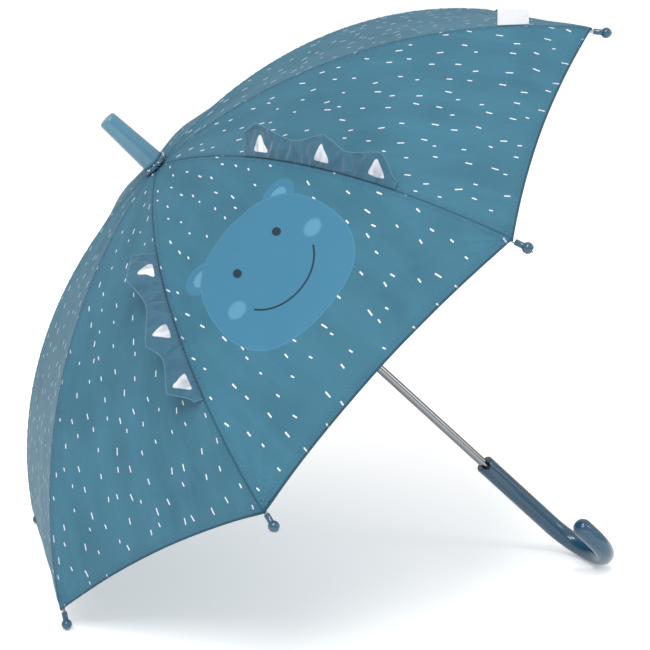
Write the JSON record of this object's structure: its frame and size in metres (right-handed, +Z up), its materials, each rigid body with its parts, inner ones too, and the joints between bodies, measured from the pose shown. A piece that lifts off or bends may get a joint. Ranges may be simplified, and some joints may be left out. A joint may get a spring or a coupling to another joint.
{
  "type": "children's stick umbrella",
  "caption": "Children's stick umbrella, open, with a crook handle, padded fin strips and a smiling face panel, lying on its rib tips and handle.",
  "frame": {"origin": "centre of the bounding box on the floor that the open umbrella lies on", "axes": "+Z up; the shaft lies in the XZ plane, with the ferrule up towards -X and the crook handle down at +X; the face panel looks to -Y"},
  "size_m": [0.5156, 0.6516, 0.5046],
  "materials": {
    "canopy_cloth": "woven",
    "fin_cloth": "woven",
    "white_tape": "woven",
    "blue_plastic": "gloss",
    "pale_plastic": "gloss",
    "nylon": "matte",
    "bright_steel": "polished",
    "spring_steel": "satin"
  },
  "bodies": {
    "root": {"shaft": "bright_steel", "ferrule": "pale_plastic", "rosette": "fin_cloth", "top_notch": "nylon", "notch_wire": "bright_steel", "handle": "blue_plastic"},
    "runner": {"runner": "nylon", "runner_wire": "bright_steel"},
    "top_catch": {"top_catch": "spring_steel"},
    "bottom_catch": {"bottom_catch": "spring_steel"},
    "rib_1": {"rib_1": "spring_steel", "rib_tip_1": "blue_plastic"},
    "stretcher_1": {"stretcher_1": "spring_steel"},
    "panel_1_a": {"panel_1_a": "canopy_cloth"},
    "panel_8_b": {"panel_8_b": "canopy_cloth"},
    "rib_2": {"rib_2": "spring_steel", "rib_tip_2": "blue_plastic", "fin_strip_2": "fin_cloth"},
    "stretcher_2": {"stretcher_2": "spring_steel"},
    "panel_2_a": {"panel_2_a": "canopy_cloth"},
    "panel_1_b": {"panel_1_b": "canopy_cloth"},
    "rib_3": {"rib_3": "spring_steel", "rib_tip_3": "blue_plastic", "fin_strip_3": "fin_cloth"},
    "stretcher_3": {"stretcher_3": "spring_steel"},
    "panel_3_a": {"panel_3_a": "canopy_cloth"},
    "panel_2_b": {"panel_2_b": "canopy_cloth"},
    "rib_4": {"rib_4": "spring_steel", "rib_tip_4": "blue_plastic", "label": "white_tape"},
    "stretcher_4": {"stretcher_4": "spring_steel"},
    "panel_4_a": {"panel_4_a": "canopy_cloth"},
    "panel_3_b": {"panel_3_b": "canopy_cloth"},
    "rib_5": {"rib_5": "spring_steel", "rib_tip_5": "blue_plastic"},
    "stretcher_5": {"stretcher_5": "spring_steel"},
    "panel_5_a": {"panel_5_a": "canopy_cloth"},
    "panel_4_b": {"panel_4_b": "canopy_cloth"},
    "rib_6": {"rib_6": "spring_steel", "rib_tip_6": "blue_plastic"},
    "stretcher_6": {"stretcher_6": "spring_steel"},
    "panel_6_a": {"panel_6_a": "canopy_cloth", "tie_strap": "canopy_cloth", "snap_socket": "bright_steel", "snap_stud": "bright_steel"},
    "panel_5_b": {"panel_5_b": "canopy_cloth"},
    "rib_7": {"rib_7": "spring_steel", "rib_tip_7": "blue_plastic"},
    "stretcher_7": {"stretcher_7": "spring_steel"},
    "panel_7_a": {"panel_7_a": "canopy_cloth"},
    "panel_6_b": {"panel_6_b": "canopy_cloth"},
    "rib_8": {"rib_8": "spring_steel", "rib_tip_8": "blue_plastic"},
    "stretcher_8": {"stretcher_8": "spring_steel"},
    "panel_8_a": {"panel_8_a": "canopy_cloth"},
    "panel_7_b": {"panel_7_b": "canopy_cloth"}
  },
  "joints": [
    {"name": "runner_slide", "type": "slide", "parent": "root", "child": "runner", "axis": [0.75, 0, -0.6614], "range_m": [0, 0.2032], "deforming": ["top_catch", "bottom_catch"]},
    {"name": "rib_1_hinge", "type": "hinge", "parent": "root", "child": "rib_1", "pos_m": [-0.16302, -0.00344, 0.35011], "axis": [0.2531, -0.9239, 0.287], "range_deg": [0, 61.76]},
    {"name": "stretcher_1_rivet", "type": "hinge", "parent": "rib_1", "child": "stretcher_1", "pos_m": [-0.23647, -0.06526, 0.21591], "axis": [0.2531, -0.9239, 0.287], "range_deg": [-103.14, 0]},
    {"name": "panel_1_a_fold", "type": "hinge", "parent": "rib_1", "child": "panel_1_a", "pos_m": [-0.16208, -0.00689, 0.35118], "axis": [0.2679, 0.9574, -0.1079], "range_deg": [0, 28.68], "deforming": ["panel_1_a"]},
    {"name": "panel_8_b_fold", "type": "hinge", "parent": "rib_1", "child": "panel_8_b", "pos_m": [-0.16396, 0, 0.34904], "axis": [-0.697, 0.6089, -0.3787], "range_deg": [0, 28.68], "deforming": ["panel_8_b"]},
    {"name": "rib_2_hinge", "type": "hinge", "parent": "root", "child": "rib_2", "pos_m": [-0.1598, -0.00831, 0.35376], "axis": [0.6111, -0.3827, 0.6929], "range_deg": [0, 61.76]},
    {"name": "stretcher_2_rivet", "type": "hinge", "parent": "rib_2", "child": "stretcher_2", "pos_m": [-0.17542, -0.15754, 0.28513], "axis": [0.6111, -0.3827, 0.6929], "range_deg": [-103.14, 0]},
    {"name": "panel_2_a_fold", "type": "hinge", "parent": "rib_2", "child": "panel_2_a", "pos_m": [-0.15752, -0.00974, 0.35635], "axis": [-0.1986, 0.7451, -0.6368], "range_deg": [0, 28.68], "deforming": ["panel_2_a"]},
    {"name": "panel_1_b_fold", "type": "hinge", "parent": "rib_2", "child": "panel_1_b", "pos_m": [-0.16208, -0.00689, 0.35118], "axis": [-0.8375, -0.0963, -0.538], "range_deg": [0, 28.68], "deforming": ["panel_1_b"]},
    {"name": "rib_3_hinge", "type": "hinge", "parent": "root", "child": "rib_3", "pos_m": [-0.15524, -0.00831, 0.35893], "axis": [0.6111, 0.3827, 0.6929], "range_deg": [0, 61.76]},
    {"name": "stretcher_3_rivet", "type": "hinge", "parent": "rib_3", "child": "stretcher_3", "pos_m": [-0.08909, -0.15754, 0.38301], "axis": [0.6111, 0.3827, 0.6929], "range_deg": [-103.14, 0]},
    {"name": "panel_3_a_fold", "type": "hinge", "parent": "rib_3", "child": "panel_3_a", "pos_m": [-0.15296, -0.00689, 0.36151], "axis": [-0.4291, 0.0963, -0.8981], "range_deg": [0, 28.68], "deforming": ["panel_3_a"]},
    {"name": "panel_2_b_fold", "type": "hinge", "parent": "rib_3", "child": "panel_2_b", "pos_m": [-0.15752, -0.00974, 0.35635], "axis": [-0.6069, -0.7451, -0.2766], "range_deg": [0, 28.68], "deforming": ["panel_2_b"]},
    {"name": "rib_4_hinge", "type": "hinge", "parent": "root", "child": "rib_4", "pos_m": [-0.15202, -0.00344, 0.36258], "axis": [0.2531, 0.9239, 0.287], "range_deg": [0, 61.76]},
    {"name": "stretcher_4_rivet", "type": "hinge", "parent": "rib_4", "child": "stretcher_4", "pos_m": [-0.02805, -0.06526, 0.45223], "axis": [0.2531, 0.9239, 0.287], "range_deg": [-103.14, 0]},
    {"name": "panel_4_a_fold", "type": "hinge", "parent": "rib_4", "child": "panel_4_a", "pos_m": [-0.15108, 0, 0.36365], "axis": [-0.2886, -0.6089, -0.7389], "range_deg": [0, 28.68], "deforming": ["panel_4_a"]},
    {"name": "panel_3_b_fold", "type": "hinge", "parent": "rib_4", "child": "panel_3_b", "pos_m": [-0.15296, -0.00689, 0.36151], "axis": [-0.1405, -0.9574, 0.2523], "range_deg": [0, 28.68], "deforming": ["panel_3_b"]},
    {"name": "rib_5_hinge", "type": "hinge", "parent": "root", "child": "rib_5", "pos_m": [-0.15202, 0.00344, 0.36258], "axis": [-0.2531, 0.9239, -0.287], "range_deg": [0, 61.76]},
    {"name": "stretcher_5_rivet", "type": "hinge", "parent": "rib_5", "child": "stretcher_5", "pos_m": [-0.02805, 0.06526, 0.45223], "axis": [-0.2531, 0.9239, -0.287], "range_deg": [-103.14, 0]},
    {"name": "panel_5_a_fold", "type": "hinge", "parent": "rib_5", "child": "panel_5_a", "pos_m": [-0.15296, 0.00689, 0.36151], "axis": [0.1405, -0.9574, -0.2523], "range_deg": [0, 28.68], "deforming": ["panel_5_a"]},
    {"name": "panel_4_b_fold", "type": "hinge", "parent": "rib_5", "child": "panel_4_b", "pos_m": [-0.15108, 0, 0.36365], "axis": [0.2886, -0.6089, 0.7389], "range_deg": [0, 28.68], "deforming": ["panel_4_b"]},
    {"name": "rib_6_hinge", "type": "hinge", "parent": "root", "child": "rib_6", "pos_m": [-0.15524, 0.00831, 0.35893], "axis": [-0.6111, 0.3827, -0.6929], "range_deg": [0, 61.76]},
    {"name": "stretcher_6_rivet", "type": "hinge", "parent": "rib_6", "child": "stretcher_6", "pos_m": [-0.08909, 0.15754, 0.38301], "axis": [-0.6111, 0.3827, -0.6929], "range_deg": [-103.14, 0]},
    {"name": "panel_6_a_fold", "type": "hinge", "parent": "rib_6", "child": "panel_6_a", "pos_m": [-0.15752, 0.00974, 0.35635], "axis": [0.6069, -0.7451, 0.2766], "range_deg": [0, 28.68], "deforming": ["panel_6_a"]},
    {"name": "panel_5_b_fold", "type": "hinge", "parent": "rib_6", "child": "panel_5_b", "pos_m": [-0.15296, 0.00689, 0.36151], "axis": [0.4291, 0.0963, 0.8981], "range_deg": [0, 28.68], "deforming": ["panel_5_b"]},
    {"name": "rib_7_hinge", "type": "hinge", "parent": "root", "child": "rib_7", "pos_m": [-0.1598, 0.00831, 0.35376], "axis": [-0.6111, -0.3827, -0.6929], "range_deg": [0, 61.76]},
    {"name": "stretcher_7_rivet", "type": "hinge", "parent": "rib_7", "child": "stretcher_7", "pos_m": [-0.17542, 0.15754, 0.28513], "axis": [-0.6111, -0.3827, -0.6929], "range_deg": [-103.14, 0]},
    {"name": "panel_7_a_fold", "type": "hinge", "parent": "rib_7", "child": "panel_7_a", "pos_m": [-0.16208, 0.00689, 0.35118], "axis": [0.8375, -0.0963, 0.538], "range_deg": [0, 28.68], "deforming": ["panel_7_a"]},
    {"name": "panel_6_b_fold", "type": "hinge", "parent": "rib_7", "child": "panel_6_b", "pos_m": [-0.15752, 0.00974, 0.35635], "axis": [0.1986, 0.7451, 0.6368], "range_deg": [0, 28.68], "deforming": ["panel_6_b"]},
    {"name": "rib_8_hinge", "type": "hinge", "parent": "root", "child": "rib_8", "pos_m": [-0.16302, 0.00344, 0.35011], "axis": [-0.2531, -0.9239, -0.287], "range_deg": [0, 61.76]},
    {"name": "stretcher_8_rivet", "type": "hinge", "parent": "rib_8", "child": "stretcher_8", "pos_m": [-0.23647, 0.06526, 0.21591], "axis": [-0.2531, -0.9239, -0.287], "range_deg": [-103.14, 0]},
    {"name": "panel_8_a_fold", "type": "hinge", "parent": "rib_8", "child": "panel_8_a", "pos_m": [-0.16396, 0, 0.34904], "axis": [0.697, 0.6089, 0.3787], "range_deg": [0, 28.68], "deforming": ["panel_8_a"]},
    {"name": "panel_7_b_fold", "type": "hinge", "parent": "rib_8", "child": "panel_7_b", "pos_m": [-0.16208, 0.00689, 0.35118], "axis": [-0.2679, 0.9574, 0.1079], "range_deg": [0, 28.68], "deforming": ["panel_7_b"]},
    {"name": "top_catch_press", "type": "hinge", "parent": "root", "child": "top_catch", "pos_m": [0.00066, 0, 0.21684], "axis": [-0.6614, 0, -0.75], "range_deg": [-6, 0], "stiffness_Nm_per_rad": 0.5},
    {"name": "bottom_catch_press", "type": "hinge", "parent": "root", "child": "bottom_catch", "pos_m": [0.11234, 0, 0.11835], "axis": [-0.6614, 0, -0.75], "range_deg": [0, 6], "stiffness_Nm_per_rad": 0.5}
  ],
  "couplings": [
    {"joint": "rib_1_hinge", "follows": "runner_slide", "rad_per_m": 5.3042},
    {"joint": "stretcher_1_rivet", "follows": "runner_slide", "rad_per_m": -8.8577},
    {"joint": "panel_1_a_fold", "follows": "runner_slide", "rad_per_m": 2.4624},
    {"joint": "panel_8_b_fold", "follows": "runner_slide", "rad_per_m": 2.4624},
    {"joint": "rib_2_hinge", "follows": "runner_slide", "rad_per_m": 5.3042},
    {"joint": "stretcher_2_rivet", "follows": "runner_slide", "rad_per_m": -8.8577},
    {"joint": "panel_2_a_fold", "follows": "runner_slide", "rad_per_m": 2.4624},
    {"joint": "panel_1_b_fold", "follows": "runner_slide", "rad_per_m": 2.4624},
    {"joint": "rib_3_hinge", "follows": "runner_slide", "rad_per_m": 5.3042},
    {"joint": "stretcher_3_rivet", "follows": "runner_slide", "rad_per_m": -8.8577},
    {"joint": "panel_3_a_fold", "follows": "runner_slide", "rad_per_m": 2.4624},
    {"joint": "panel_2_b_fold", "follows": "runner_slide", "rad_per_m": 2.4624},
    {"joint": "rib_4_hinge", "follows": "runner_slide", "rad_per_m": 5.3042},
    {"joint": "stretcher_4_rivet", "follows": "runner_slide", "rad_per_m": -8.8577},
    {"joint": "panel_4_a_fold", "follows": "runner_slide", "rad_per_m": 2.4624},
    {"joint": "panel_3_b_fold", "follows": "runner_slide", "rad_per_m": 2.4624},
    {"joint": "rib_5_hinge", "follows": "runner_slide", "rad_per_m": 5.3042},
    {"joint": "stretcher_5_rivet", "follows": "runner_slide", "rad_per_m": -8.8577},
    {"joint": "panel_5_a_fold", "follows": "runner_slide", "rad_per_m": 2.4624},
    {"joint": "panel_4_b_fold", "follows": "runner_slide", "rad_per_m": 2.4624},
    {"joint": "rib_6_hinge", "follows": "runner_slide", "rad_per_m": 5.3042},
    {"joint": "stretcher_6_rivet", "follows": "runner_slide", "rad_per_m": -8.8577},
    {"joint": "panel_6_a_fold", "follows": "runner_slide", "rad_per_m": 2.4624},
    {"joint": "panel_5_b_fold", "follows": "runner_slide", "rad_per_m": 2.4624},
    {"joint": "rib_7_hinge", "follows": "runner_slide", "rad_per_m": 5.3042},
    {"joint": "stretcher_7_rivet", "follows": "runner_slide", "rad_per_m": -8.8577},
    {"joint": "panel_7_a_fold", "follows": "runner_slide", "rad_per_m": 2.4624},
    {"joint": "panel_6_b_fold", "follows": "runner_slide", "rad_per_m": 2.4624},
    {"joint": "rib_8_hinge", "follows": "runner_slide", "rad_per_m": 5.3042},
    {"joint": "stretcher_8_rivet", "follows": "runner_slide", "rad_per_m": -8.8577},
    {"joint": "panel_8_a_fold", "follows": "runner_slide", "rad_per_m": 2.4624},
    {"joint": "panel_7_b_fold", "follows": "runner_slide", "rad_per_m": 2.4624}
  ]
}
